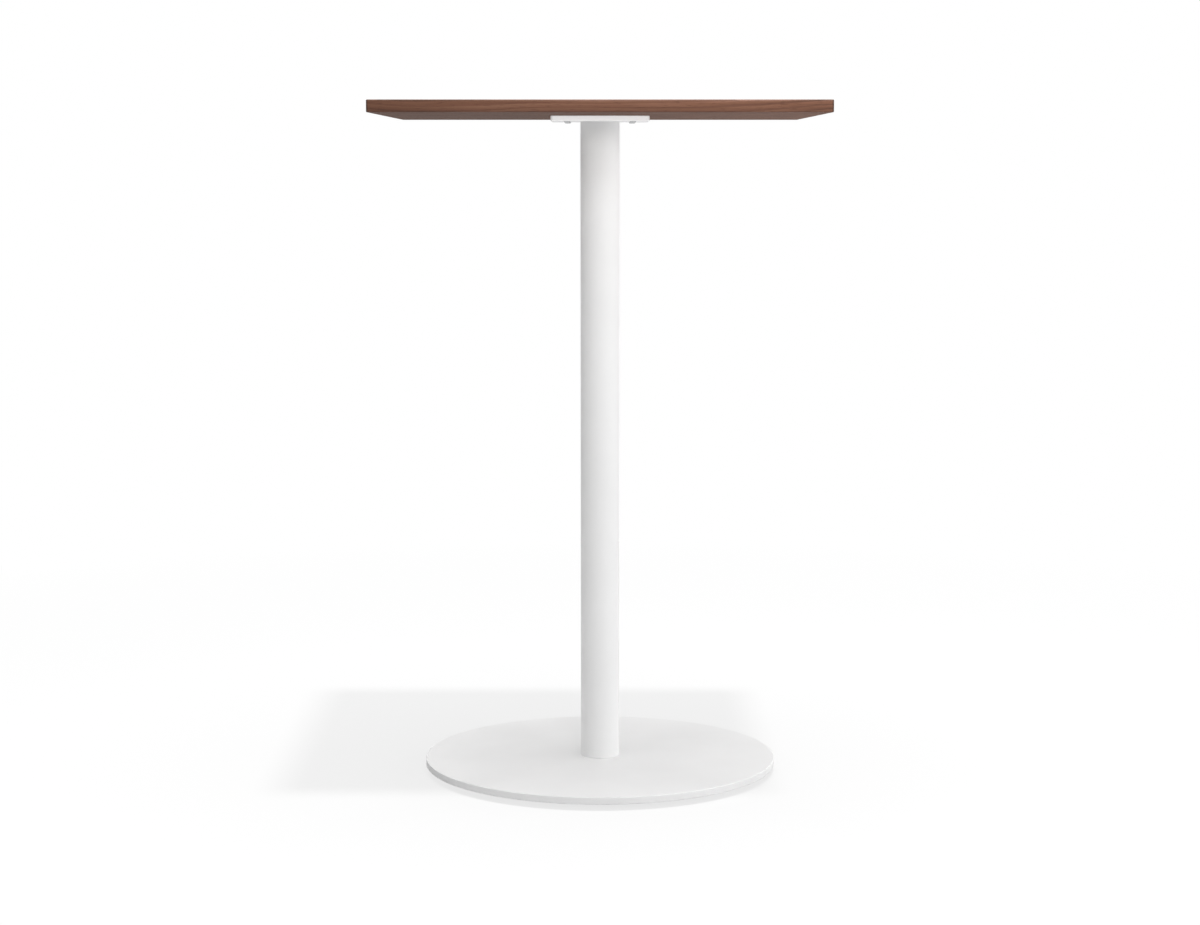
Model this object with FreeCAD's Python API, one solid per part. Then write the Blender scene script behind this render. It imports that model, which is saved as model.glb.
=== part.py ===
import FreeCAD, Part
import math
import os

# Square bar table on one column, in millimetres. The origin lies on the floor at the column's axis,
# +Z is up and -Y is the front.

# Whole table
table_height = 1041.0

# Top: a core between two veneers, with a solid band on each edge
top_width = 660.0
top_depth = 660.0
top_thickness = 18.0
veneer_thickness = 0.6
band_thickness = 3.0
top_arris_radius = 1.5
top_corner_radius = 2.0

# Square plate between the column and the top
plate_side = 150.0
plate_thickness = 8.0
plate_corner_radius = 6.0
plate_edge_radius = 1.0

# Low button-head screws through the plate
plate_screw_spacing = 100.0
plate_screw_diameter = 6.35
plate_screw_head_diameter = 10.0
plate_screw_head_height = 2.2
plate_screw_head_rim = 0.8
plate_screw_head_flat = 6.4
plate_screw_socket_width = 4.0
plate_screw_socket_depth = 2.0
plate_screw_hole_clearance = 0.35
plate_screw_tip_clearance = 1.5

# Ribbed threaded inserts in the core, which the plate screws go into
insert_diameter = 11.0
insert_rib_height = 0.5
insert_rib_count = 4
insert_cover = 4.0
insert_tip_clearance = 0.6

# Column tube, and the tapped plugs welded into its ends
column_diameter = 60.3
column_wall = 3.0
plug_thickness = 16.0

# Countersunk screws that hold the plate and the base to the plugs
column_screw_count = 4
column_screw_circle_diameter = 34.0
column_screw_diameter = 8.0
column_screw_head_diameter = 16.0
column_screw_head_land = 0.4
column_screw_socket_width = 5.0
column_screw_socket_depth = 2.8
column_screw_hole_clearance = 0.4
column_screw_engagement = 12.0

# Round base
base_diameter = 550.0
base_thickness = 11.0
base_edge_radius = 1.2

# Levelling feet: a stud with a hexagon collar, and a pad that the stud turns in
foot_count = 4
foot_circle_diameter = 450.0
foot_pad_diameter = 30.0
foot_pad_height = 6.5
foot_pad_floor = 1.8
foot_pad_edge_radius = 1.0
foot_thread_diameter = 8.0
foot_hole_cover = 2.0
foot_hole_tip_clearance = 1.0
foot_collar_width = 13.0
foot_collar_height = 3.0
foot_neck_diameter = 6.0
foot_button_diameter = 10.0
foot_button_height = 2.2
foot_swivel_clearance = 0.3

# Fits and cuts: threads are drawn plain, with a radial play
thread_clearance = 0.1
thread_tip_bevel = 0.8
seat_clearance = 0.05
cut_overrun = 1.0
level_tolerance = 0.001

# Levels from the floor up, with the feet screwed fully in
base_low = foot_pad_height + foot_collar_height
column_low = base_low + base_thickness
top_low = table_height - top_thickness
plate_low = top_low - plate_thickness

# Sizes that follow
core_width = top_width - 2 * band_thickness
core_depth = top_depth - 2 * band_thickness
core_thickness = top_thickness - 2 * veneer_thickness
core_low = top_low + veneer_thickness
insert_hole_depth = top_thickness - insert_cover
insert_length = insert_hole_depth - insert_tip_clearance
plate_screw_length = plate_thickness + insert_length - plate_screw_tip_clearance
column_length = plate_low - column_low
column_bore = column_diameter - 2 * column_wall
foot_hole_depth = base_thickness - foot_hole_cover
foot_thread_length = foot_hole_depth - foot_hole_tip_clearance

full_turn = 360.0
half_turn = full_turn / 2
hexagon_sides = 6
half_step_share = 0.5
origin = FreeCAD.Vector(0, 0, 0)
up = FreeCAD.Vector(0, 0, 1)
sideways = FreeCAD.Vector(1, 0, 0)


# Plain shapes on the column's axis, and their copies

def centred_box(width, depth, height, low):
    return Part.makeBox(width, depth, height, FreeCAD.Vector(-width / 2, -depth / 2, low))


def cylinder(diameter, height, low):
    return Part.makeCylinder(diameter / 2, height, FreeCAD.Vector(0, 0, low))


def hexagon_bar(width_across_flats, height, low):
    corner_radius = width_across_flats / 2 / math.cos(math.pi / hexagon_sides)
    corners = []
    for side in range(hexagon_sides + 1):
        angle = 2 * math.pi * side / hexagon_sides
        corners.append(FreeCAD.Vector(corner_radius * math.cos(angle), corner_radius * math.sin(angle), low))
    return Part.Face(Part.makePolygon(corners)).extrude(up * height)


def turned(outline):
    """A solid of revolution from lines and arcs in the XZ plane that start and end on the axis."""
    axis_line = Part.makeLine(outline[-1].lastVertex().Point, outline[0].firstVertex().Point)
    return Part.Face(Part.Wire(outline + [axis_line])).revolve(origin, up, full_turn)


def outline_lines(points):
    """Straight edges through points given as radius and level."""
    corners = [FreeCAD.Vector(radius, 0, level) for radius, level in points]
    return [Part.makeLine(first, second) for first, second in zip(corners, corners[1:])]


def ease_ends(solid, radius):
    """Rounds the level edges, where the sides meet the upper and lower faces."""
    return solid.makeFillet(radius, [edge for edge in solid.Edges if edge.BoundBox.ZLength < level_tolerance])


def rounded_slab(width, depth, height, low, corner_radius, edge_radius):
    slab = centred_box(width, depth, height, low)
    uprights = [edge for edge in slab.Edges if edge.BoundBox.ZLength > level_tolerance]
    return ease_ends(slab.makeFillet(corner_radius, uprights), edge_radius)


def square_pattern(solid, spacing):
    half = spacing / 2
    places = [(-half, -half), (half, -half), (half, half), (-half, half)]
    return [solid.translated(FreeCAD.Vector(x, y, 0)) for x, y in places]


def circle_pattern(solid, circle_diameter, count):
    """Copies evenly round a circle, the first one half a step past the X axis."""
    first = solid.translated(sideways * (circle_diameter / 2))
    steps = [number + half_step_share for number in range(count)]
    return [first.rotated(origin, up, full_turn * step / count) for step in steps]


# Top

def insert_holes():
    diameter = insert_diameter + 2 * seat_clearance
    hole = cylinder(diameter, insert_hole_depth + cut_overrun, top_low - cut_overrun)
    return square_pattern(hole, plate_screw_spacing)


def tabletop_core():
    return centred_box(core_width, core_depth, core_thickness, core_low).cut(insert_holes())


def top_veneer():
    return centred_box(core_width, core_depth, veneer_thickness, core_low + core_thickness)


def bottom_veneer():
    return centred_box(core_width, core_depth, veneer_thickness, top_low).cut(insert_holes())


def edging():
    """The whole frame of edge bands, rounded at its corners and arrises."""
    whole = rounded_slab(top_width, top_depth, top_thickness, top_low, top_corner_radius, top_arris_radius)
    return whole.cut(centred_box(core_width, core_depth, top_thickness, top_low))


def front_band():
    corner = FreeCAD.Vector(-top_width / 2, -top_depth / 2, top_low)
    return edging().common(Part.makeBox(top_width, band_thickness, top_thickness, corner))


def left_band():
    corner = FreeCAD.Vector(-top_width / 2, -core_depth / 2, top_low)
    return edging().common(Part.makeBox(band_thickness, core_depth, top_thickness, corner))


def threaded_insert():
    rib_pitch = insert_length / insert_rib_count
    crest = insert_diameter / 2
    root = crest - insert_rib_height
    profile = [(0, top_low)]
    for number in range(insert_rib_count):
        profile.append((crest, top_low + number * rib_pitch))
        profile.append((root, top_low + (number + 1) * rib_pitch))
    profile.append((0, top_low + insert_length))
    bore = cylinder(plate_screw_diameter + 2 * thread_clearance, insert_length, top_low)
    return turned(outline_lines(profile)).cut(bore)


# Plate under the top

def countersunk_hole(thickness):
    """The cut for a countersunk screw: its head's face is at level 0 and its shank points up."""
    head = column_screw_head_diameter / 2 + seat_clearance
    shank = column_screw_diameter / 2 + column_screw_hole_clearance
    throat = column_screw_head_land + head - shank
    end = thickness + cut_overrun
    profile = [(0, -cut_overrun), (head, -cut_overrun), (head, column_screw_head_land)]
    profile += [(shank, throat), (shank, end), (0, end)]
    return turned(outline_lines(profile))


def countersunk_screw(thickness):
    """A right-angle countersunk screw for a plate of this thickness, placed like its hole."""
    head = column_screw_head_diameter / 2
    shank = column_screw_diameter / 2
    throat = column_screw_head_land + head - shank
    end = thickness + column_screw_engagement
    profile = [(0, 0), (head, 0), (head, column_screw_head_land), (shank, throat)]
    profile += [(shank, end - thread_tip_bevel), (shank - thread_tip_bevel, end), (0, end)]
    socket = hexagon_bar(column_screw_socket_width, column_screw_socket_depth, 0)
    return turned(outline_lines(profile)).cut(socket)


def column_screw_pattern(solid, level):
    placed = solid.translated(up * level)
    return circle_pattern(placed, column_screw_circle_diameter, column_screw_count)


def turned_over(solid):
    return solid.rotated(origin, sideways, half_turn)


def top_plate():
    slab = rounded_slab(
        plate_side, plate_side, plate_thickness, plate_low, plate_corner_radius, plate_edge_radius
    )
    hole_diameter = plate_screw_diameter + 2 * plate_screw_hole_clearance
    hole = cylinder(hole_diameter, plate_thickness + 2 * cut_overrun, plate_low - cut_overrun)
    column_hole = turned_over(countersunk_hole(plate_thickness))
    holes = square_pattern(hole, plate_screw_spacing) + column_screw_pattern(column_hole, top_low)
    return slab.cut(holes)


def plate_screw():
    """A button-head screw, its domed head below the plate and its shank pointing up."""
    head = plate_screw_head_diameter / 2
    flat = plate_screw_head_flat / 2
    shank = plate_screw_diameter / 2
    rim_low = plate_low - plate_screw_head_rim
    head_low = plate_low - plate_screw_head_height
    tip = plate_low + plate_screw_length
    dome_radius = flat + (head - flat) * math.sin(math.pi / 4)
    dome_level = rim_low - (rim_low - head_low) * math.sin(math.pi / 4)
    dome_points = [(flat, head_low), (dome_radius, dome_level), (head, rim_low)]
    dome = Part.Arc(*[FreeCAD.Vector(radius, 0, level) for radius, level in dome_points]).toShape()
    above = [(head, rim_low), (head, plate_low), (shank, plate_low), (shank, tip - thread_tip_bevel)]
    above += [(shank - thread_tip_bevel, tip), (0, tip)]
    outline = outline_lines([(0, head_low), (flat, head_low)]) + [dome] + outline_lines(above)
    return turned(outline).cut(hexagon_bar(plate_screw_socket_width, plate_screw_socket_depth, head_low))


# Column

def column_tube():
    bore = cylinder(column_bore, column_length, column_low)
    return cylinder(column_diameter, column_length, column_low).cut(bore)


def column_plug(low):
    plug = cylinder(column_bore - 2 * seat_clearance, plug_thickness, low)
    tapped = cylinder(column_screw_diameter + 2 * thread_clearance, plug_thickness, 0)
    return plug.cut(column_screw_pattern(tapped, low))


# Base

def base_disc():
    disc = ease_ends(cylinder(base_diameter, base_thickness, base_low), base_edge_radius)
    foot_diameter = foot_thread_diameter + 2 * thread_clearance
    foot_hole = cylinder(foot_diameter, foot_hole_depth + cut_overrun, base_low - cut_overrun)
    holes = circle_pattern(foot_hole, foot_circle_diameter, foot_count)
    return disc.cut(holes + column_screw_pattern(countersunk_hole(base_thickness), base_low))


# Levelling feet

def foot_pad():
    pad = ease_ends(cylinder(foot_pad_diameter, foot_pad_height, 0), foot_pad_edge_radius)
    room_diameter = foot_button_diameter + 2 * foot_swivel_clearance
    room_height = foot_button_height + 2 * foot_swivel_clearance
    mouth = cylinder(foot_neck_diameter + 2 * foot_swivel_clearance, foot_pad_height, foot_pad_floor)
    return pad.cut([cylinder(room_diameter, room_height, foot_pad_floor), mouth])


def foot_stud():
    button = foot_button_diameter / 2
    neck = foot_neck_diameter / 2
    thread = foot_thread_diameter / 2
    button_low = foot_pad_floor + foot_swivel_clearance
    button_high = button_low + foot_button_height
    tip = base_low + foot_thread_length
    profile = [(0, button_low), (button, button_low), (button, button_high), (neck, button_high)]
    profile += [(neck, foot_pad_height), (thread, foot_pad_height), (thread, tip - thread_tip_bevel)]
    profile += [(thread - thread_tip_bevel, tip), (0, tip)]
    collar = hexagon_bar(foot_collar_width, foot_collar_height, foot_pad_height)
    return turned(outline_lines(profile)).fuse(collar).removeSplitter()


# One file for each node, in the order of assembly

def export(name, solids):
    shape = solids[0] if len(solids) == 1 else Part.makeCompound(solids)
    shape.exportStep(os.path.join("parts", name + ".step"))
    print(name, len(shape.Solids), "solids", round(shape.Volume), "mm3 valid", shape.isValid())


os.makedirs("parts", exist_ok=True)
export("tabletop_core", [tabletop_core()])
export("top_veneer", [top_veneer()])
export("bottom_veneer", [bottom_veneer()])
export("edge_band_front", [front_band()])
export("edge_band_back", [front_band().rotated(origin, up, half_turn)])
export("edge_band_left", [left_band()])
export("edge_band_right", [left_band().rotated(origin, up, half_turn)])
export("threaded_inserts", square_pattern(threaded_insert(), plate_screw_spacing))
export("top_plate", [top_plate()])
export("top_plate_screws", square_pattern(plate_screw(), plate_screw_spacing))
export("column_top_screws", column_screw_pattern(turned_over(countersunk_screw(plate_thickness)), top_low))
export("column_top_plug", [column_plug(plate_low - plug_thickness)])
export("column_tube", [column_tube()])
export("column_bottom_plug", [column_plug(column_low)])
export("column_base_screws", column_screw_pattern(countersunk_screw(base_thickness), base_low))
export("base_disc", [base_disc()])
for number, stud in enumerate(circle_pattern(foot_stud(), foot_circle_diameter, foot_count), 1):
    export(f"foot_stud_{number}", [stud])
for number, pad in enumerate(circle_pattern(foot_pad(), foot_circle_diameter, foot_count), 1):
    export(f"foot_pad_{number}", [pad])
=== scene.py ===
import bmesh
import bpy
import math
from mathutils import Matrix, Vector


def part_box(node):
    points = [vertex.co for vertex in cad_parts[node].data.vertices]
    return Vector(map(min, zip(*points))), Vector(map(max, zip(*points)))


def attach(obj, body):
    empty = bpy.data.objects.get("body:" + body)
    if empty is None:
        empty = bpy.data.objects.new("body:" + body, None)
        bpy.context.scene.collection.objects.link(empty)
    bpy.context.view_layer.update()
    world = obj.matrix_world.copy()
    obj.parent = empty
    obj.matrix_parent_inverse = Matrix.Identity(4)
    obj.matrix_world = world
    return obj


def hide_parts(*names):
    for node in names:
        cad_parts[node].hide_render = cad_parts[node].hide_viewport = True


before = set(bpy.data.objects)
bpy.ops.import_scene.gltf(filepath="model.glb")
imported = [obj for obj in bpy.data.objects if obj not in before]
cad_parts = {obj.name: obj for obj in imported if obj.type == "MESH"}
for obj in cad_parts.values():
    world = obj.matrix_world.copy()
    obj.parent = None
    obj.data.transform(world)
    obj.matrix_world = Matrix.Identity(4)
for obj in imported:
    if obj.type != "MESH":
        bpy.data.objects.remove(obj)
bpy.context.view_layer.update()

# Base: a flat round steel plate, laser cut and eased round its rim. Four countersunk holes at the centre take
# the column's screws from below, and four blind threaded holes near the rim take the feet. The whole plate is
# powder coated in matt white, which leaves a very fine orange peel.
mm = 0.001
quarter_turn = math.pi / 2
whole_turn = 2 * math.pi
weld_gap = 0.001 * mm
sharp_angle = math.radians(38)
base_floor, base_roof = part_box("base_disc")
base_radius = base_roof.x
base_ease = 1.2 * mm
base_steps = 256
ease_steps = 6
hole_steps = 40
flat_margin = 0.4 * mm
foot_circle_radius = 225 * mm
foot_hole_radius = 4.1 * mm
foot_hole_depth = 9 * mm
sink_circle_radius = 17 * mm
sink_mouth_radius = 8.05 * mm
sink_land = 0.4 * mm
sink_throat_radius = 4.4 * mm
sink_throat_depth = sink_land + sink_mouth_radius - sink_throat_radius
coat_thin = 0.800
coat_thick = 0.835
coat_roughness = (0.50, 0.60)
coat_cloud_scale = 9.0
coat_cloud_limits = (0.25, 0.75)
peel_scale = 620.0
peel_strength = 0.25
peel_depth = 0.05 * mm
noise_low, noise_high = 0.3, 0.7


def eased_corner(radius, level, ease, first_angle):
    """Points of a quarter round about a centre given as radius and level."""
    angles = [first_angle + quarter_turn * step / ease_steps for step in range(ease_steps + 1)]
    return [(radius + ease * math.cos(angle), level + ease * math.sin(angle)) for angle in angles]


def drawn(bm, profile):
    """A line through radius and level points, as the verts and edges that a spin takes."""
    first_radius, first_level = profile[0]
    verts = bmesh.ops.create_vert(bm, co=(first_radius, 0, first_level))["vert"]
    edges = []
    for radius, level in profile[1:]:
        grown = bmesh.ops.extrude_vert_indiv(bm, verts=[verts[-1]])
        verts.append(grown["verts"][0])
        edges.append(grown["edges"][0])
        verts[-1].co = (radius, 0, level)
    return verts + edges


def turned(bm, profile, steps):
    """Turns a profile of radius and level points about the upright axis."""
    line = drawn(bm, profile)
    bmesh.ops.spin(
        bm, geom=line, cent=(0, 0, 0), axis=(0, 0, 1), angle=whole_turn, steps=steps, use_merge=True
    )
    bmesh.ops.remove_doubles(bm, verts=bm.verts, dist=weld_gap)


def hole_mouth(bm, x, y, level, radius, steps):
    """The edges of a ring that lies flat, with a side for each step."""
    place = Matrix.Translation((x, y, level))
    rim = bmesh.ops.create_circle(bm, cap_ends=False, radius=radius, segments=steps, matrix=place)["verts"]
    return list(dict.fromkeys(edge for vert in rim for edge in vert.link_edges))


def bored(bm, x, y, sections, blind=False):
    """The wall of a hole through sections given as level and radius, with a flat end if it is blind."""
    mouths = [hole_mouth(bm, x, y, level, radius, hole_steps) for level, radius in sections]
    for lower, upper in zip(mouths, mouths[1:]):
        bmesh.ops.bridge_loops(bm, edges=lower + upper)
    if blind:
        bmesh.ops.edgeloop_fill(bm, edges=mouths[-1])


def closed_flat(bm, level):
    """Fills the flat face at a level between its rim and the mouths of its holes."""
    rims = [edge for edge in bm.edges if edge.is_boundary]
    rims = [edge for edge in rims if all(abs(vert.co.z - level) < weld_gap for vert in edge.verts)]
    bmesh.ops.triangle_fill(bm, use_beauty=True, edges=rims, normal=(0, 0, 1))


def square_places(half_spacing):
    """Four places in a square, the one at the back right first and then anticlockwise."""
    signs = ((1, 1), (-1, 1), (-1, -1), (1, -1))
    return [(x * half_spacing, y * half_spacing) for x, y in signs]


def circle_places(radius):
    """The same four places, on a circle of a given radius."""
    return square_places(radius * math.sqrt(0.5))


def finished(name, bm, material, slot, body, *nodes):
    """Makes a piece of a mesh, paints it and puts it on its body in place of its CAD nodes."""
    bmesh.ops.remove_doubles(bm, verts=bm.verts, dist=weld_gap)
    bmesh.ops.recalc_face_normals(bm, faces=bm.faces)
    mesh = bpy.data.meshes.new(name)
    bm.to_mesh(mesh)
    bm.free()
    mesh.shade_smooth()
    mesh.set_sharp_from_angle(angle=sharp_angle)
    mesh.materials.append(material)
    piece = bpy.data.objects.new(name, mesh)
    bpy.context.scene.collection.objects.link(piece)
    piece.modifiers.new("even_shading", "WEIGHTED_NORMAL").keep_sharp = True
    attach(piece, body)
    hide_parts(*nodes)


def node(tree, kind, sockets=None, **settings):
    """Adds a shader node. Sockets are set to values or joined to other nodes' outputs."""
    made = tree.nodes.new(kind)
    for key, value in settings.items():
        setattr(made, key, value)
    for key, value in (sockets or {}).items():
        if isinstance(value, bpy.types.NodeSocket):
            tree.links.new(value, made.inputs[key])
        else:
            made.inputs[key].default_value = value
    return made


def new_material(name):
    """Starts a material, with its node tree, its shader and the place on the piece that patterns follow."""
    material = bpy.data.materials.new(name)
    material.use_nodes = True
    tree = material.node_tree
    place = node(tree, "ShaderNodeTexCoord").outputs["Object"]
    return material, tree, tree.nodes["Principled BSDF"], place


def new_effect(name, takes, gives):
    """Starts a node group for an effect that several finishes share, with named sockets."""
    effect = bpy.data.node_groups.new(name, "ShaderNodeTree")
    for way, sockets in (("INPUT", takes), ("OUTPUT", gives)):
        for socket, kind in sockets.items():
            effect.interface.new_socket(socket, in_out=way, socket_type="NodeSocket" + kind)
    return effect, effect.nodes.new("NodeGroupInput").outputs, effect.nodes.new("NodeGroupOutput").inputs


def noise(tree, place, scale, detail, roughness=0.5):
    sockets = {"Vector": place, "Scale": scale, "Detail": detail, "Roughness": roughness}
    return node(tree, "ShaderNodeTexNoise", sockets).outputs["Fac"]


def ranged(tree, value, low, high, from_low=0.0, from_high=1.0):
    """Brings a value from one range to another, and holds it at the ends."""
    limits = {"Value": value, "From Min": from_low, "From Max": from_high, "To Min": low, "To Max": high}
    return node(tree, "ShaderNodeMapRange", limits).outputs["Result"]


def noise_ranged(tree, value, low, high):
    """The same for noise, which mostly stays in the middle of its range."""
    return ranged(tree, value, low, high, noise_low, noise_high)


def mixed(tree, share, first, second, blend="MIX"):
    sockets = {"Factor": share, "A": first, "B": second}
    return node(tree, "ShaderNodeMix", sockets, data_type="RGBA", blend_type=blend).outputs["Result"]


def painted(tree, shader, colour, roughness, metallic=0.0):
    tree.links.new(colour, shader.inputs["Base Color"])
    tree.links.new(roughness, shader.inputs["Roughness"])
    shader.inputs["Metallic"].default_value = metallic


def bumped(tree, shader, height, strength, depth):
    bump = node(tree, "ShaderNodeBump", {"Height": height, "Strength": strength, "Distance": depth})
    tree.links.new(bump.outputs["Normal"], shader.inputs["Normal"])


sprayed_coat, taken, given = new_effect(
    "sprayed_coat",
    {"Place": "Vector", "Thin": "Color", "Thick": "Color"},
    {"Color": "Color", "Roughness": "Float", "Height": "Float"},
)
cloud = noise(sprayed_coat, taken["Place"], coat_cloud_scale, detail=3.0)
peel = noise(sprayed_coat, taken["Place"], peel_scale, detail=2.0)
thickness = ranged(sprayed_coat, cloud, 0.0, 1.0, *coat_cloud_limits)
sprayed_coat.links.new(mixed(sprayed_coat, thickness, taken["Thin"], taken["Thick"]), given["Color"])
sprayed_coat.links.new(noise_ranged(sprayed_coat, peel, *coat_roughness), given["Roughness"])
sprayed_coat.links.new(peel, given["Height"])


def powder_coat(name, thin, thick):
    """White powder coat, given how white it is where it is thin and where it is thick."""
    material, tree, shader, place = new_material(name)
    sockets = {"Place": place, "Thin": (thin, thin, thin, 1), "Thick": (thick, thick, thick, 1)}
    coat = node(tree, "ShaderNodeGroup", sockets, node_tree=sprayed_coat).outputs
    painted(tree, shader, coat["Color"], coat["Roughness"])
    bumped(tree, shader, coat["Height"], peel_strength, peel_depth)
    return material


white_coat = powder_coat("white_powder_coat", coat_thin, coat_thick)

bm = bmesh.new()
rim_radius = base_radius - base_ease
base_profile = [(rim_radius - flat_margin, base_roof.z)]
base_profile += reversed(eased_corner(rim_radius, base_roof.z - base_ease, base_ease, 0))
base_profile += reversed(eased_corner(rim_radius, base_floor.z + base_ease, base_ease, -quarter_turn))
base_profile += [(rim_radius - flat_margin, base_floor.z)]
turned(bm, base_profile, base_steps)
for x, y in circle_places(foot_circle_radius):
    foot_hole_end = base_floor.z + foot_hole_depth
    bored(bm, x, y, [(base_floor.z, foot_hole_radius), (foot_hole_end, foot_hole_radius)], blind=True)
for x, y in circle_places(sink_circle_radius):
    sink = [(base_floor.z, sink_mouth_radius), (base_floor.z + sink_land, sink_mouth_radius)]
    sink += [(base_floor.z + sink_throat_depth, sink_throat_radius), (base_roof.z, sink_throat_radius)]
    bored(bm, x, y, sink)
closed_flat(bm, base_floor.z)
closed_flat(bm, base_roof.z)
finished("base_plate", bm, white_coat, "white_coat", "table", "base_disc")

# Column: one length of round steel tube, sawn square and deburred at both ends, in the same white coat as the
# base that it stands on.
column_floor, column_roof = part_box("column_tube")
column_radius = column_roof.x
column_wall = 3 * mm
column_deburr = 0.3 * mm
column_steps = 128
column_bore = column_radius - column_wall
column_face = column_radius - column_deburr
bm = bmesh.new()
column_profile = [(column_face, column_floor.z), (column_radius, column_floor.z + column_deburr)]
column_profile += [(column_radius, column_roof.z - column_deburr), (column_face, column_roof.z)]
column_profile += [(column_bore, column_roof.z), (column_bore, column_floor.z), column_profile[0]]
turned(bm, column_profile, column_steps)
finished("column_pipe", bm, white_coat, "white_coat", "table", "column_tube")

# Column plugs: thick steel discs, turned to the tube's bore, welded in at both ends and tapped for the column's
# screws. They stay bare steel inside the tube.
steel_groove = (0.38, 0.38, 0.39, 1)
steel_land = (0.48, 0.48, 0.48, 1)
steel_roughness = (0.34, 0.46)
tool_mark_scale = 160.0
plain_steel, tree, shader, place = new_material("turned_steel")
sockets = {"Vector": place, "Scale": tool_mark_scale, "Distortion": 1.5, "Detail": 2.0}
marks = node(tree, "ShaderNodeTexWave", sockets, wave_type="RINGS", rings_direction="Z").outputs["Fac"]
steel_tone = mixed(tree, marks, steel_groove, steel_land)
painted(tree, shader, steel_tone, ranged(tree, marks, *steel_roughness), metallic=1.0)
for plug in ("column_top_plug", "column_bottom_plug"):
    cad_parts[plug].material_slots[0].material = plain_steel

# Column screws: eight zinc-plated countersunk screws with hexagon sockets. Four go up through the base, flush
# with its underside, and four go down through the top plate, where the tabletop covers them.
zinc_dull = (0.46, 0.47, 0.48, 1)
zinc_bright = (0.60, 0.60, 0.60, 1)
zinc_roughness = (0.30, 0.48)
zinc_bloom_scale = 420.0
zinc_bump_strength = 0.2
zinc_bump_depth = 0.02 * mm
sunk_head_radius = 8 * mm
sunk_head_bevel = 0.3 * mm
sunk_head_bevel_depth = 0.15 * mm
sunk_shank_radius = 4 * mm
sunk_socket_width = 5 * mm
sunk_socket_depth = 2.8 * mm
screw_engagement = 12 * mm
screw_tip_bevel = 0.8 * mm
screw_steps = 48
hexagon_sides = 6
plate_floor, plate_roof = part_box("top_plate")


def ramped(tree, value, stops, interpolation="LINEAR"):
    """A colour that changes with a value, through stops given as a value and a colour."""
    ramp = node(tree, "ShaderNodeValToRGB", {"Fac": value})
    ramp.color_ramp.interpolation = interpolation
    first, last = ramp.color_ramp.elements
    first.position, first.color = stops[0]
    last.position, last.color = stops[-1]
    for position, colour in stops[1:-1]:
        ramp.color_ramp.elements.new(position).color = colour
    return ramp.outputs["Color"]


def hexagon_radius(width):
    """From the middle of a hexagon to its corners, given its width across the flats."""
    return width / 2 / math.cos(math.pi / hexagon_sides)


def put_in(bm, part):
    """Puts one mesh into another."""
    loose = bpy.data.meshes.new("loose_part")
    part.to_mesh(loose)
    part.free()
    bm.from_mesh(loose)
    bpy.data.meshes.remove(loose)


def socket_screw(bm, profile, socket_width, socket_depth, spot, facing_up=False):
    """One screw: its head's face at level 0 with a hexagon socket, its shank upright, moved to its spot."""
    screw = bmesh.new()
    turned(screw, profile, screw_steps)
    mouth = hole_mouth(screw, 0, 0, 0, hexagon_radius(socket_width), hexagon_sides)
    closing = [edge for edge in screw.edges if edge.is_boundary and edge not in mouth]
    bmesh.ops.triangle_fill(screw, use_beauty=True, edges=closing + mouth, normal=(0, 0, 1))
    sunk = bmesh.ops.extrude_edge_only(screw, edges=mouth)["geom"]
    sunk_verts = [part for part in sunk if isinstance(part, bmesh.types.BMVert)]
    sunk_edges = [part for part in sunk if isinstance(part, bmesh.types.BMEdge)]
    bmesh.ops.translate(screw, verts=sunk_verts, vec=(0, 0, socket_depth))
    bmesh.ops.edgeloop_fill(screw, edges=[edge for edge in sunk_edges if edge.is_boundary])
    if facing_up:
        bmesh.ops.rotate(screw, verts=screw.verts, cent=(0, 0, 0), matrix=Matrix.Rotation(math.pi, 3, "X"))
    bmesh.ops.translate(screw, verts=screw.verts, vec=spot)
    put_in(bm, screw)


def sunk_profile(plate_thickness):
    """A countersunk screw from the face of its head to its tip, for a plate of a given thickness."""
    cone_end = sink_land + sunk_head_radius - sunk_shank_radius
    tip = plate_thickness + screw_engagement
    profile = [(sunk_head_radius - sunk_head_bevel, 0), (sunk_head_radius, sunk_head_bevel_depth)]
    profile += [(sunk_head_radius, sink_land), (sunk_shank_radius, cone_end)]
    profile += [(sunk_shank_radius, tip - screw_tip_bevel), (sunk_shank_radius - screw_tip_bevel, tip)]
    return profile + [(0, tip)]


zinc, tree, shader, place = new_material("zinc_plating")
bloom = noise(tree, place, zinc_bloom_scale, detail=4.0)
zinc_tone = ramped(tree, bloom, [(noise_low, zinc_dull), (noise_high, zinc_bright)])
painted(tree, shader, zinc_tone, noise_ranged(tree, bloom, *zinc_roughness), metallic=1.0)
bumped(tree, shader, bloom, zinc_bump_strength, zinc_bump_depth)

bm = bmesh.new()
low_profile = sunk_profile(base_roof.z - base_floor.z)
for x, y in circle_places(sink_circle_radius):
    socket_screw(bm, low_profile, sunk_socket_width, sunk_socket_depth, (x, y, base_floor.z))
finished("column_screws_low", bm, zinc, "plated_steel", "table", "column_base_screws")
bm = bmesh.new()
high_profile = sunk_profile(plate_roof.z - plate_floor.z)
for x, y in circle_places(sink_circle_radius):
    socket_screw(bm, high_profile, sunk_socket_width, sunk_socket_depth, (x, y, plate_roof.z), facing_up=True)
finished("column_screws_high", bm, zinc, "plated_steel", "table", "column_top_screws")

# Top plate: a square of steel with rounded corners and eased edges, in the column's white coat painted lighter,
# a painted highlight that makes it look more brightly lit than the column. It is screwed down on the column
# through countersunk holes and carries the tabletop on its upper face.
plate_half = plate_roof.x
plate_corner = 6 * mm
plate_ease = 1 * mm
plate_screw_half_spacing = 50 * mm
plate_hole_radius = 3.525 * mm
# Painted light: the plate's coat is painted lighter than the column's, to look more brightly lit.
plate_painted_light_thin = 0.930
plate_painted_light_thick = 0.955
slab_corner_steps = 8
slab_ease_steps = 5
facing_straight = 0.999


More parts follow.
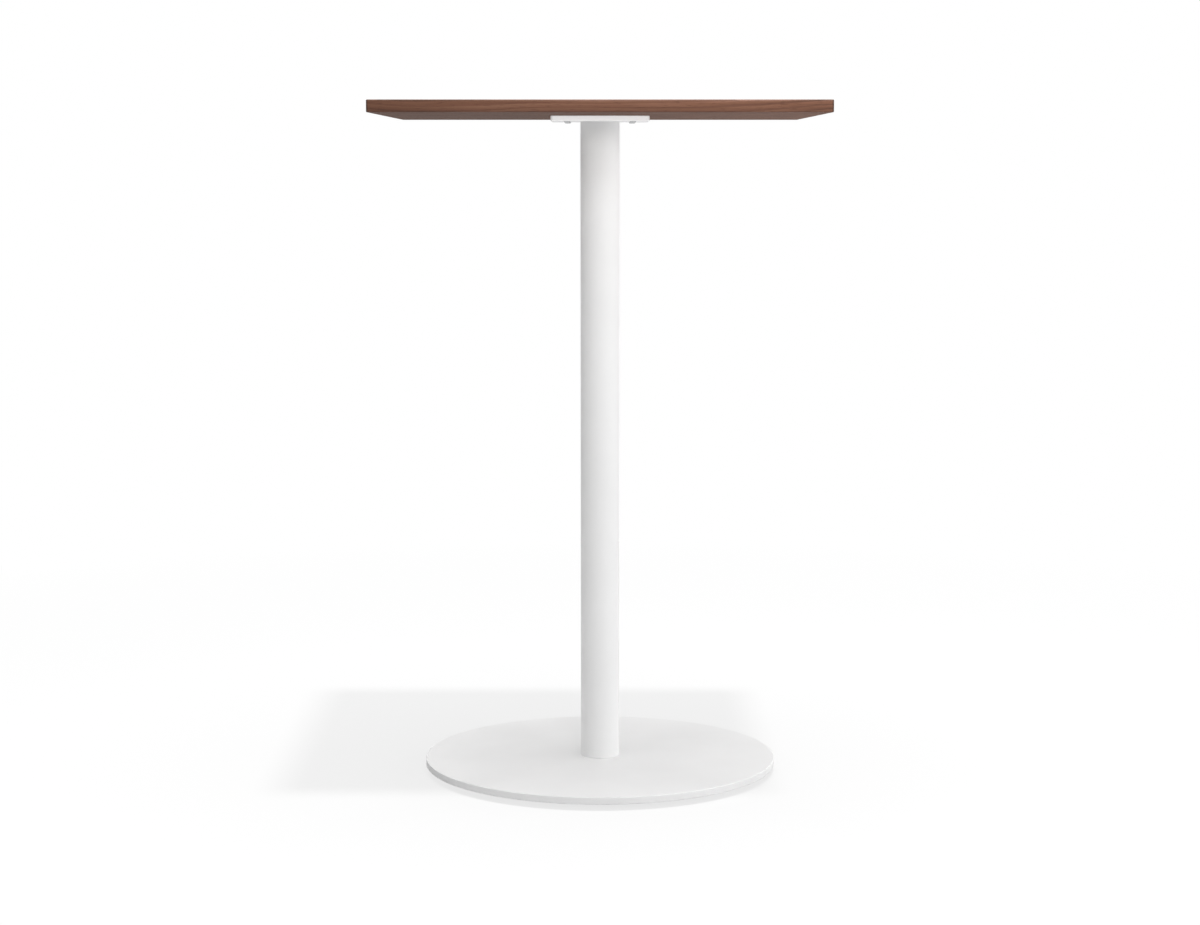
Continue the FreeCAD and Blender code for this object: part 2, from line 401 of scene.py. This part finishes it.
def bevelled(bm, geom, width, steps, affect="EDGES"):
    bmesh.ops.bevel(
        bm, geom=geom, offset=width, offset_type="OFFSET", affect=affect, segments=steps, profile=0.5, material=-1
    )


def level_edges(edges):
    return [edge for edge in edges if abs(edge.verts[0].co.z - edge.verts[1].co.z) < weld_gap]


def rounded_slab(bm, half_side, low, high, corner, ease):
    """A square slab with rounded corners and eased edges, its flat faces inset a little from the rounding."""
    lowered = Matrix.Translation((0, 0, low))
    bmesh.ops.create_grid(bm, x_segments=1, y_segments=1, size=half_side, matrix=lowered)
    bevelled(bm, bm.verts[:], corner, slab_corner_steps, affect="VERTICES")
    raised = bmesh.ops.extrude_face_region(bm, geom=bm.faces[:], use_keep_orig=True)["geom"]
    raised_verts = [part for part in raised if isinstance(part, bmesh.types.BMVert)]
    bmesh.ops.translate(bm, verts=raised_verts, vec=(0, 0, high - low))
    bevelled(bm, level_edges(bm.edges), ease, slab_ease_steps)
    bm.normal_update()
    flats = [face for face in bm.faces if abs(face.normal.z) > facing_straight]
    flats = [face for face in flats if face.calc_area() > half_side * half_side]
    bmesh.ops.inset_individual(bm, faces=flats, thickness=flat_margin)
    return flats


# A lighter copy of the white coat: painted light on the plate.
lighter_painted_plate_coat = powder_coat("white_powder_coat_painted_lighter", plate_painted_light_thin, plate_painted_light_thick)
bm = bmesh.new()
open_flats = rounded_slab(bm, plate_half, plate_floor.z, plate_roof.z, plate_corner, plate_ease)
bmesh.ops.delete(bm, geom=open_flats, context="FACES_ONLY")
for x, y in square_places(plate_screw_half_spacing):
    bored(bm, x, y, [(plate_floor.z, plate_hole_radius), (plate_roof.z, plate_hole_radius)])
for x, y in circle_places(sink_circle_radius):
    sink = [(plate_floor.z, sink_throat_radius), (plate_roof.z - sink_throat_depth, sink_throat_radius)]
    sink += [(plate_roof.z - sink_land, sink_mouth_radius), (plate_roof.z, sink_mouth_radius)]
    bored(bm, x, y, sink)
closed_flat(bm, plate_floor.z)
closed_flat(bm, plate_roof.z)
finished("mounting_plate", bm, lighter_painted_plate_coat, "white_coat", "table", "top_plate")

# Tabletop core: a wood-chip board, pressed from coarse chips with finer faces, drilled from below for the
# inserts. The veneers and bands cover it on every side.
dark_chip = (0.26, 0.165, 0.085, 1)
pale_chip = (0.53, 0.38, 0.22, 1)
pale_chip_start = 0.6
chip_roughness = (0.75, 0.9)
chip_scale = 260.0
dust_scale = 90.0
chip_bump_strength = 0.5
chip_bump_depth = 0.2 * mm


def math_node(tree, operation, first, second=0.0):
    return node(tree, "ShaderNodeMath", {0: first, 1: second}, operation=operation).outputs[0]


chip_board, tree, shader, place = new_material("chip_board")
chips = node(tree, "ShaderNodeTexVoronoi", {"Vector": place, "Scale": chip_scale, "Randomness": 1.0})
chip_tone = node(tree, "ShaderNodeSeparateColor", {"Color": chips.outputs["Color"]}).outputs["Red"]
chip_mix = math_node(tree, "MULTIPLY", chip_tone, noise(tree, place, dust_scale, detail=6.0))
board_tone = ramped(tree, chip_mix, [(0.0, dark_chip), (pale_chip_start, pale_chip)])
painted(tree, shader, board_tone, ranged(tree, chip_tone, *chip_roughness))
bumped(tree, shader, chip_mix, chip_bump_strength, chip_bump_depth)
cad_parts["tabletop_core"].material_slots[0].material = chip_board

# Face veneers: thin sheets of walnut, sliced from one log and laid side by side with the grain running from
# left to right, pressed on both faces of the core. The upper one has satin lacquer, the lower one stays matt and
# has painted light: darker at the left and lighter towards the right.
ring_spacing = 5.5 * mm
ring_darkness = ((0.0, 0.30), (0.10, 0.12), (0.55, 0.34), (0.86, 0.92), (0.94, 0.85), (1.0, 1.0))
ring_weight = 0.34
log_taper = 0.055
sway_reach = 26 * mm
swell_reach = 14 * mm
jitter_reach = 0.9 * mm
streak_darkness = (-0.06, 0.40)
band_darkness = (-0.10, 0.38)
pore_limits = (0.60, 0.70)
pore_weight = 0.6
pore_dulling = 0.14
streak_relief = 0.3
light_wood = (0.262, 0.128, 0.082, 1)
middle_wood = (0.165, 0.070, 0.041, 1)
dark_wood = (0.070, 0.028, 0.017, 1)
pore_wood = (0.040, 0.016, 0.010, 1)
lacquer_roughness = (0.40, 0.52)
grain_strength = 0.25
grain_depth = 0.05 * mm
leaf_width = 130.8 * mm
leaf_slide = 60 * mm
leaf_thickness = 2.5 * mm
lying = (0, 0, 0)
upper_heart = 22 * mm
upper_shift = (0.35, leaf_width / 2, 0)
upper_colour = (0.88, 0.87, 0.86, 1)
lower_heart = 46 * mm
lower_shift = (1.65, leaf_width / 2, 0)
# Painted light on the lower veneer: darker at the left, lighter towards the right.
lower_shaded_left, lower_lit_right = -0.15, 0.30
lower_painted_light_tones = (0.57, 0.57, 0.56, 1), (1.00, 1.06, 1.09, 1)


def fibre_noise(tree, place, along, across, detail, roughness=0.5, shift=0.0):
    """Noise drawn out along the grain, with scales along and across it per metre."""
    sockets = {"Vector": place, "Scale": (along, across, across), "Location": (shift, shift, shift)}
    stretched = node(tree, "ShaderNodeMapping", sockets).outputs["Vector"]
    return noise(tree, stretched, 1.0, detail, roughness)


walnut_figure, taken, given = new_effect(
    "walnut_figure",
    {"Place": "Vector", "Heart": "Float"},
    {"Color": "Color", "Roughness": "Float", "Height": "Float"},
)
tree = walnut_figure
place = taken["Place"]
along_grain, across_grain, into_log = node(tree, "ShaderNodeSeparateXYZ", {"Vector": place}).outputs
sway = fibre_noise(tree, place, along=1.7, across=7.0, detail=2.0)
swell = fibre_noise(tree, place, along=2.4, across=9.0, detail=2.0, shift=31.0)
jitter = fibre_noise(tree, place, along=6.0, across=210.0, detail=3.0, shift=7.0)
streaks = fibre_noise(tree, place, along=3.0, across=150.0, detail=4.0, roughness=0.6, shift=3.0)
bands = fibre_noise(tree, place, along=1.1, across=16.0, detail=3.0, roughness=0.55, shift=13.0)
pores = fibre_noise(tree, place, along=60.0, across=1500.0, detail=1.0, shift=5.0)
pores = ranged(tree, pores, 0.0, 1.0, *pore_limits)
aside = math_node(tree, "ADD", across_grain, ranged(tree, sway, -sway_reach, sway_reach))
deep = math_node(tree, "ADD", taken["Heart"], math_node(tree, "MULTIPLY", along_grain, log_taper))
deep = math_node(tree, "ADD", deep, ranged(tree, swell, -swell_reach, swell_reach))
deep = math_node(tree, "ADD", deep, into_log)
aside_squared = math_node(tree, "MULTIPLY", aside, aside)
deep_squared = math_node(tree, "MULTIPLY", deep, deep)
from_heart = math_node(tree, "SQRT", math_node(tree, "ADD", aside_squared, deep_squared))
from_heart = math_node(tree, "ADD", from_heart, ranged(tree, jitter, -jitter_reach, jitter_reach))
year = math_node(tree, "FRACT", math_node(tree, "DIVIDE", from_heart, ring_spacing))
ring_stops = [(part, (tone, tone, tone, 1)) for part, tone in ring_darkness]
darkness = math_node(tree, "MULTIPLY", ramped(tree, year, ring_stops, "EASE"), ring_weight)
darkness = math_node(tree, "ADD", darkness, noise_ranged(tree, streaks, *streak_darkness))
darkness = math_node(tree, "ADD", darkness, noise_ranged(tree, bands, *band_darkness))
wood = ramped(tree, darkness, [(0.0, light_wood), (0.5, middle_wood), (1.0, dark_wood)])
wood = mixed(tree, math_node(tree, "MULTIPLY", pores, pore_weight), wood, pore_wood)
dullness = noise_ranged(tree, streaks, *lacquer_roughness)
dullness = math_node(tree, "ADD", dullness, math_node(tree, "MULTIPLY", pores, pore_dulling))
relief = math_node(tree, "SUBTRACT", math_node(tree, "MULTIPLY", streaks, streak_relief), pores)
tree.links.new(wood, given["Color"])
tree.links.new(dullness, given["Roughness"])
tree.links.new(relief, given["Height"])

# Painted light shared by the lower veneer and the bands: darker at the left of the table, lighter at its right.
painted_light_gradient, taken, given = new_effect(
    "painted_light_gradient",
    {"Place": "Vector", "Left": "Float", "Right": "Float", "Left Tone": "Color", "Right Tone": "Color"},
    {"Color": "Color"},
)
across = node(painted_light_gradient, "ShaderNodeSeparateXYZ", {"Vector": taken["Place"]}).outputs["X"]
share = ranged(painted_light_gradient, across, 0.0, 1.0, taken["Left"], taken["Right"])
painted_light_gradient.links.new(mixed(painted_light_gradient, share, taken["Left Tone"], taken["Right Tone"]), given["Color"])


def walnut(name, heart, shift, turn, gloss, dulling, in_leaves=False):
    """Walnut with its grain turned along the piece, and the socket for the piece's own tone."""
    material, tree, shader, place = new_material(name)
    sockets = {"Vector": place, "Rotation": turn, "Location": shift}
    place = node(tree, "ShaderNodeMapping", sockets).outputs["Vector"]
    if in_leaves:
        parts = node(tree, "ShaderNodeSeparateXYZ", {"Vector": place}).outputs
        leaf = math_node(tree, "FLOOR", math_node(tree, "DIVIDE", parts["Y"], leaf_width))
        within = math_node(tree, "SUBTRACT", parts["Y"], math_node(tree, "MULTIPLY", leaf, leaf_width))
        within = math_node(tree, "SUBTRACT", within, leaf_width / 2)
        slide = math_node(tree, "MULTIPLY", math_node(tree, "SINE", leaf), leaf_slide)
        slid = math_node(tree, "ADD", parts["X"], slide)
        sliced = math_node(tree, "MULTIPLY", leaf, leaf_thickness)
        place = node(tree, "ShaderNodeCombineXYZ", {"X": slid, "Y": within, "Z": sliced}).outputs["Vector"]
    figure = node(tree, "ShaderNodeGroup", {"Place": place, "Heart": heart}, node_tree=walnut_figure).outputs
    sockets = {"Factor": 1.0, "A": figure["Color"]}
    toned = node(tree, "ShaderNodeMix", sockets, data_type="RGBA", blend_type="MULTIPLY")
    painted(tree, shader, toned.outputs["Result"], math_node(tree, "ADD", figure["Roughness"], dulling))
    shader.inputs["Specular IOR Level"].default_value = gloss
    bumped(tree, shader, figure["Height"], grain_strength, grain_depth)
    return material, toned.inputs["B"]


def painted_light_change(tree, left, right, painted_tones):
    """Painted light: a change of tone from the darker left of the table to its lighter right."""
    place = node(tree, "ShaderNodeTexCoord").outputs["Object"]
    sockets = {"Place": place, "Left": left, "Right": right, "Left Tone": painted_tones[0], "Right Tone": painted_tones[1]}
    return node(tree, "ShaderNodeGroup", sockets, node_tree=painted_light_gradient).outputs["Color"]


upper_walnut, upper_tone = walnut(
    "walnut_veneer_upper", upper_heart, upper_shift, lying, gloss=0.35, dulling=0.0, in_leaves=True
)
upper_tone.default_value = upper_colour
lower_walnut, lower_tone = walnut(
    "walnut_veneer_lower", lower_heart, lower_shift, lying, gloss=0.15, dulling=0.25, in_leaves=True
)
# The lower veneer's tone is painted light, darker at the left and lighter at the right.
tree = lower_walnut.node_tree
tree.links.new(painted_light_change(tree, lower_shaded_left, lower_lit_right, lower_painted_light_tones), lower_tone)
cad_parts["top_veneer"].material_slots[0].material = upper_walnut
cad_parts["bottom_veneer"].material_slots[0].material = lower_walnut

# Edge bands: strips of solid walnut, three millimetres thick, glued on all four edges with the grain running
# along them. The front and back strips run through, so their darker end grain shows at the corners. A router
# rounds the arrises and corners. Their colour has painted light: darker at the left and lighter at the right,
# darker towards the lower arris, and a painted highlight along the upper arris.
top_floor, top_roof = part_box("edge_band_front")
top_half = top_roof.x
band_thickness = 3 * mm
band_inside = top_half - band_thickness
band_corner = 2 * mm
band_ease = 1.5 * mm
band_heart = 38 * mm
upright = (quarter_turn, 0, 0)
sideways = Matrix(((0, 1, 0), (0, 0, 1), (1, 0, 0))).to_euler()
front_shift = (0.2, 1.08, 0.3)
side_shift = (2.6, -0.95, 0.0)
# Painted light: the bands are darker at the left and lighter towards the right.
band_shaded_left, band_lit_right = -top_half, 0.2
front_painted_light = (0.61, 0.59, 0.55, 1), (1.06, 1.13, 1.17, 1)
side_painted_light = (0.76, 0.74, 0.71, 1), (0.98, 1.03, 1.05, 1)
# Painted shade towards the lower arris and a painted highlight along the upper arris.
arris_painted_shade_and_highlight = (
    (0.0, (0.58, 0.54, 0.51, 1)),
    (0.28, (0.90, 0.88, 0.86, 1)),
    (0.80, (1.02, 1.00, 0.99, 1)),
    (0.92, (1.24, 1.38, 1.58, 1)),
    (1.0, (1.38, 1.65, 1.98, 1)),
)
end_grain_tone = 0.52
long_grain_tone = 1.0
end_grain_start = top_half - 2.7 * mm
end_grain_full = top_half - 2.0 * mm


def cut_off(bm, place, outward):
    """Cuts off all that lies outward of a plane."""
    everything = bm.verts[:] + bm.edges[:] + bm.faces[:]
    bmesh.ops.bisect_plane(bm, geom=everything, plane_co=place, plane_no=outward, clear_outer=True)


def fill_cuts(bm):
    bmesh.ops.holes_fill(bm, edges=[edge for edge in bm.edges if edge.is_boundary])


def band(name, keep, material, cad_node):
    """Cuts one strip out of the whole rounded slab by planes given as a direction and a distance."""
    bm = bmesh.new()
    rounded_slab(bm, top_half, top_floor.z, top_roof.z, band_corner, band_ease)
    for direction, distance in keep:
        outward = Vector(direction)
        cut_off(bm, outward * distance, outward)
        fill_cuts(bm)
    finished(name, bm, material, "walnut_band", "table", cad_node)


# Painted shade and highlight from the lower arris to the upper one, with darker end grain at the ends.
arris_light_and_end_grain, taken, given = new_effect("arris_light_and_end_grain", {"Place": "Vector", "End Tone": "Float"}, {"Color": "Color"})
parts = node(arris_light_and_end_grain, "ShaderNodeSeparateXYZ", {"Vector": taken["Place"]}).outputs
height = ranged(arris_light_and_end_grain, parts["Z"], 0.0, 1.0, top_floor.z, top_roof.z)
from_middle = math_node(arris_light_and_end_grain, "ABSOLUTE", parts["X"])
darkening = ranged(arris_light_and_end_grain, from_middle, 1.0, taken["End Tone"], end_grain_start, end_grain_full)
sockets = {0: ramped(arris_light_and_end_grain, height, arris_painted_shade_and_highlight), "Scale": darkening}
darker_ends = node(arris_light_and_end_grain, "ShaderNodeVectorMath", sockets, operation="SCALE").outputs["Vector"]
arris_light_and_end_grain.links.new(darker_ends, given["Color"])


def band_walnut(name, shift, turn, painted_light_tones, end_tone):
    """Walnut for a band: painted shade at the left and the lower arris, painted light at the right and a painted
    highlight at the upper arris, and darker end grain at its ends.
    """
    material, tone = walnut(name, band_heart, shift, turn, gloss=0.40, dulling=0.05)
    tree = material.node_tree
    place = node(tree, "ShaderNodeTexCoord").outputs["Object"]
    arris_light_and_ends = node(tree, "ShaderNodeGroup", {"Place": place, "End Tone": end_tone}, node_tree=arris_light_and_end_grain)
    painted_gradient = painted_light_change(tree, band_shaded_left, band_lit_right, painted_light_tones)
    tree.links.new(mixed(tree, 1.0, painted_gradient, arris_light_and_ends.outputs["Color"], "MULTIPLY"), tone)
    return material


front_walnut = band_walnut("walnut_band_front", front_shift, upright, front_painted_light, end_grain_tone)
side_walnut = band_walnut("walnut_band_side", side_shift, sideways, side_painted_light, long_grain_tone)
within_sides = [((0, 1, 0), band_inside), ((0, -1, 0), band_inside)]
band("band_front", [((0, 1, 0), -band_inside)], front_walnut, "edge_band_front")
band("band_back", [((0, -1, 0), -band_inside)], front_walnut, "edge_band_back")
band("band_shaded_left", [((1, 0, 0), -band_inside)] + within_sides, side_walnut, "edge_band_left")
band("band_lit_right", [((-1, 0, 0), -band_inside)] + within_sides, side_walnut, "edge_band_right")

# Threaded inserts: four ribbed brass bushes, turned from bar and pressed into the core from below. They hold
# the plate's screws.
brass_dull = (0.50, 0.34, 0.12, 1)
brass_bright = (0.66, 0.48, 0.20, 1)
brass_roughness = (0.25, 0.42)
tarnish_scale = 300.0
brass, tree, shader, place = new_material("turned_brass")
tarnish = noise(tree, place, tarnish_scale, detail=3.0)
brass_tone = mixed(tree, tarnish, brass_dull, brass_bright)
painted(tree, shader, brass_tone, ranged(tree, tarnish, *brass_roughness), metallic=1.0)
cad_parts["threaded_inserts"].material_slots[0].material = brass

# Plate screws: four zinc-plated button-head screws with hexagon sockets. They go up through the plate into the
# inserts, so their low domed heads show below the plate.
button_radius = 5 * mm
button_height = 2.2 * mm
button_rim = 0.8 * mm
button_flat_radius = 3.2 * mm
button_shank_radius = 3.175 * mm
button_socket_width = 4 * mm
button_socket_depth = 2 * mm
dome_steps = 8
button_foot, button_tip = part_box("top_plate_screws")
button_length = button_tip.z - button_foot.z
button_profile = []
for step in range(dome_steps + 1):
    angle = quarter_turn * step / dome_steps
    dome_radius = button_flat_radius + (button_radius - button_flat_radius) * math.sin(angle)
    button_profile.append((dome_radius, (button_height - button_rim) * (1 - math.cos(angle))))
button_profile += [(button_radius, button_height), (button_shank_radius, button_height)]
button_profile += [(button_shank_radius, button_length - screw_tip_bevel)]
button_profile += [(button_shank_radius - screw_tip_bevel, button_length), (0, button_length)]
bm = bmesh.new()
for x, y in square_places(plate_screw_half_spacing):
    socket_screw(bm, button_profile, button_socket_width, button_socket_depth, (x, y, button_foot.z))
finished("plate_screws", bm, zinc, "plated_steel", "table", "top_plate_screws")

# Feet: four levelling feet. Each has a moulded dark nylon pad that stays still on the floor, and a zinc-plated
# stud that turns in it: a button held in the pad, a hexagon collar for a spanner and a thread up into the base.
nylon_dark = (0.020, 0.020, 0.021, 1)
nylon_pale = (0.034, 0.034, 0.035, 1)
nylon_roughness = (0.48, 0.62)
mould_grain_scale = 1400.0
mould_flow_scale = 60.0
nylon_bump_strength = 0.3
nylon_bump_depth = 0.04 * mm
pad_radius = 15 * mm
pad_height = 6.5 * mm
pad_ease = 1 * mm
pad_rim = pad_radius - pad_ease
pad_floor = 1.8 * mm
pad_steps = 72
room_radius = 5.3 * mm
room_height = 2.8 * mm
room_roof = pad_floor + room_height
mouth_radius = 3.3 * mm
stud_button_radius = 5 * mm
stud_button_floor = 2.1 * mm
stud_button_roof = 4.3 * mm
stud_neck_radius = 3 * mm
collar_height = 3 * mm
collar_width = 13 * mm
collar_radius = hexagon_radius(collar_width)
collar_bevel = 0.4 * mm
collar_bevel_steps = 2
collar_roof = pad_height + collar_height
thread_crest = 4 * mm
thread_root = 3.4 * mm
thread_pitch = 1.25 * mm
thread_length = 8 * mm
thread_start = collar_roof - thread_pitch
crest_start = thread_start + 0.45 * thread_pitch
crest_end = thread_start + 0.55 * thread_pitch
thread_turns = 8
thread_steps = 36
thread_weld_gap = 0.002 * mm

nylon, tree, shader, place = new_material("moulded_nylon")
mould_grain = noise(tree, place, mould_grain_scale, detail=2.0)
mould_flow = noise(tree, place, mould_flow_scale, detail=2.0)
nylon_tone = mixed(tree, mould_flow, nylon_dark, nylon_pale)
painted(tree, shader, nylon_tone, noise_ranged(tree, mould_grain, *nylon_roughness))
bumped(tree, shader, mould_grain, nylon_bump_strength, nylon_bump_depth)

pad_profile = [(0, 0), (pad_rim - flat_margin, 0)]
pad_profile += eased_corner(pad_rim, pad_ease, pad_ease, -quarter_turn)
pad_profile += eased_corner(pad_rim, pad_height - pad_ease, pad_ease, 0)
pad_profile += [(pad_rim - flat_margin, pad_height), (mouth_radius, pad_height)]
pad_profile += [(mouth_radius, room_roof), (room_radius, room_roof)]
pad_profile += [(room_radius, pad_floor), (0, pad_floor)]
stud_profile = [(0, stud_button_floor), (stud_button_radius, stud_button_floor)]
stud_profile += [(stud_button_radius, stud_button_roof), (stud_neck_radius, stud_button_roof)]
stud_profile += [(stud_neck_radius, pad_height), (0, pad_height)]
thread_profile = [(thread_root, thread_start), (thread_crest, crest_start)]
thread_profile += [(thread_crest, crest_end), (thread_root, thread_start + thread_pitch)]

for number, (x, y) in enumerate(circle_places(foot_circle_radius), 1):
    bm = bmesh.new()
    turned(bm, pad_profile, pad_steps)
    bmesh.ops.translate(bm, verts=bm.verts, vec=(x, y, 0))
    finished(f"foot_{number}_pad", bm, nylon, "pad_plastic", f"foot_pad_{number}", f"foot_pad_{number}")

    bm = bmesh.new()
    turned(bm, stud_profile, screw_steps)
    collar = bmesh.ops.create_cone(
        bm, cap_ends=True, segments=hexagon_sides, radius1=collar_radius, radius2=collar_radius,
        depth=collar_height, matrix=Matrix.Translation((0, 0, pad_height + collar_height / 2))
    )["verts"]
    collar_edges = dict.fromkeys(edge for vert in collar for edge in vert.link_edges)
    bevelled(bm, level_edges(collar_edges), collar_bevel, collar_bevel_steps)
    thread = bmesh.new()
    thread_line = drawn(thread, thread_profile)
    bmesh.ops.spin(
        thread, geom=thread_line, cent=(0, 0, 0), axis=(0, 0, 1), dvec=(0, 0, thread_pitch / thread_steps),
        angle=thread_turns * whole_turn, steps=thread_turns * thread_steps
    )
    bmesh.ops.remove_doubles(thread, verts=thread.verts, dist=thread_weld_gap)
    cut_off(thread, (0, 0, collar_roof), (0, 0, -1))
    cut_off(thread, (0, 0, collar_roof + thread_length), (0, 0, 1))
    fill_cuts(thread)
    put_in(bm, thread)
    bmesh.ops.translate(bm, verts=bm.verts, vec=(x, y, 0))
    finished(f"foot_{number}_screw", bm, zinc, "plated_steel", f"foot_stud_{number}", f"foot_stud_{number}")

# Studio: a plain white floor that runs into a white surround, and soft lamps all round that are stronger on the
# right. A low lamp in front lights the top plate alone, which the tabletop shades from the others. A small high
# lamp lights the floor alone, so the tabletop throws a faint shadow back and to the left.
scene = bpy.context.scene
floor_half_side = 40.0
floor_squares = 8
floor_near, floor_far = 1.2, 2.4
floor_shade = (0.10, 0.10, 0.10, 1)
floor_glow = 0.77
floor_bounce = (0.30, 0.30, 0.30, 1)
white = (1, 1, 1, 1)
surround_light = 0.20
surround_look = 1.0
camera_lens = 75.691
camera_sensor = 36.0
camera_place = (0, -3.9195, 0.9549)
camera_pitch = 6.8154


def seen_share(tree):
    """1 for what is seen, straight or by a reflection or refraction, and 0 for light that only spreads."""
    rays = node(tree, "ShaderNodeLightPath").outputs
    seen = math_node(tree, "ADD", rays["Is Camera Ray"], rays["Is Glossy Ray"])
    return math_node(tree, "MINIMUM", math_node(tree, "ADD", seen, rays["Is Transmission Ray"]), 1.0)


def blended(tree, share, first, second):
    return node(tree, "ShaderNodeMixShader", {"Fac": share, 1: first, 2: second}).outputs["Shader"]


def lamp(name, place, aim, width, watts, height=None, spread=180):
    """An oval area lamp, round unless it has a height, with a spread in degrees."""
    data = bpy.data.lights.new(name, "AREA")
    data.shape = "ELLIPSE"
    data.size = width
    data.size_y = height or width
    data.energy = watts
    data.spread = math.radians(spread)
    made = bpy.data.objects.new(name, data)
    made.location = place
    made.rotation_euler = (Vector(aim) - Vector(place)).to_track_quat("-Z", "Y").to_euler()
    made.visible_camera = False
    made.visible_glossy = False
    scene.collection.objects.link(made)
    return made


bm = bmesh.new()
bmesh.ops.create_grid(bm, x_segments=floor_squares, y_segments=floor_squares, size=floor_half_side)
floor_mesh = bpy.data.meshes.new("studio_floor")
bm.to_mesh(floor_mesh)
bm.free()
floor = bpy.data.objects.new("studio_floor", floor_mesh)
scene.collection.objects.link(floor)

# The camera sees the floor's shade only near the table. It looks through the floor from below, so that the
# feet and undersides can be seen.
paper = bpy.data.materials.new("floor_paper")
paper.use_nodes = True
tree = paper.node_tree
tree.nodes.clear()
place = node(tree, "ShaderNodeTexCoord").outputs["Object"]
away = node(tree, "ShaderNodeVectorMath", {0: place}, operation="LENGTH").outputs["Value"]
far = ranged(tree, away, 0.0, 1.0, floor_near, floor_far)
shaded = node(tree, "ShaderNodeBsdfDiffuse", {"Color": floor_shade}).outputs["BSDF"]
glow = node(tree, "ShaderNodeEmission", {"Strength": floor_glow}).outputs["Emission"]
near_look = node(tree, "ShaderNodeAddShader", {0: shaded, 1: glow}).outputs["Shader"]
far_look = node(tree, "ShaderNodeEmission", {"Strength": surround_look}).outputs["Emission"]
look = blended(tree, far, near_look, far_look)
bounce = node(tree, "ShaderNodeBsdfDiffuse", {"Color": floor_bounce}).outputs["BSDF"]
surface = blended(tree, seen_share(tree), bounce, look)
from_below = node(tree, "ShaderNodeNewGeometry").outputs["Backfacing"]
by_camera = node(tree, "ShaderNodeLightPath").outputs["Is Camera Ray"]
from_below = math_node(tree, "MULTIPLY", from_below, by_camera)
clear = node(tree, "ShaderNodeBsdfTransparent").outputs["BSDF"]
node(tree, "ShaderNodeOutputMaterial", {"Surface": blended(tree, from_below, surface, clear)})
floor_mesh.materials.append(paper)

world = bpy.data.worlds.new("white_surround")
scene.world = world
world.use_nodes = True
tree = world.node_tree
tree.nodes.clear()
soft = node(tree, "ShaderNodeBackground", {"Color": white, "Strength": surround_light}).outputs["Background"]
plain = node(tree, "ShaderNodeBackground", {"Color": white, "Strength": surround_look}).outputs["Background"]
node(tree, "ShaderNodeOutputWorld", {"Surface": blended(tree, seen_share(tree), soft, plain)})

lamp("overhead_softbox", (0, 0, 5.0), (0, 0, 0), width=5.0, watts=291.0)
lamp("front_lamp", (0.45, -2.6, 1.25), (0.1, 0, 0.95), width=0.7, height=0.3, watts=3.05, spread=62)
lamp("front_left_lamp", (-3.9, -3.9, 2.3), (0, 0, 0.6), width=3.4, height=1.2, watts=49.0)
lamp("front_right_lamp", (3.9, -3.9, 2.3), (0, 0, 0.6), width=3.4, height=1.2, watts=60.0)
lamp("right_lamp", (5.5, -0.5, 1.25), (0, 0, 0.8), width=5.5, height=2.4, watts=107.0)
lamp("back_left_lamp", (-3.9, 3.9, 1.5), (0, 0, 0.8), width=1.2, watts=45.0)
lamp("back_right_lamp", (3.9, 3.9, 1.5), (0, 0, 0.8), width=1.2, watts=45.0)
plate_lamp = lamp("plate_lamp", (0, -2.6, 0.62), (0, 0, 1.0), width=0.7, watts=4.5, spread=69)
shadow_lamp = lamp("shadow_lamp", (0.875, -1.555, 8.62), (0, 0, 0), width=0.6, watts=840.0)
for source, lit in ((plate_lamp, bpy.data.objects["mounting_plate"]), (shadow_lamp, floor)):
    lit_alone = bpy.data.collections.new(f"lit_by_{source.name}")
    lit_alone.objects.link(lit)
    source.light_linking.receiver_collection = lit_alone

camera_data = bpy.data.cameras.new("camera")
camera_data.lens = camera_lens
camera_data.sensor_width = camera_sensor
camera = bpy.data.objects.new("camera", camera_data)
camera.location = camera_place
camera.rotation_euler = (math.radians(90 - camera_pitch), 0, 0)
scene.collection.objects.link(camera)
scene.camera = camera
scene.view_settings.view_transform = "Standard"
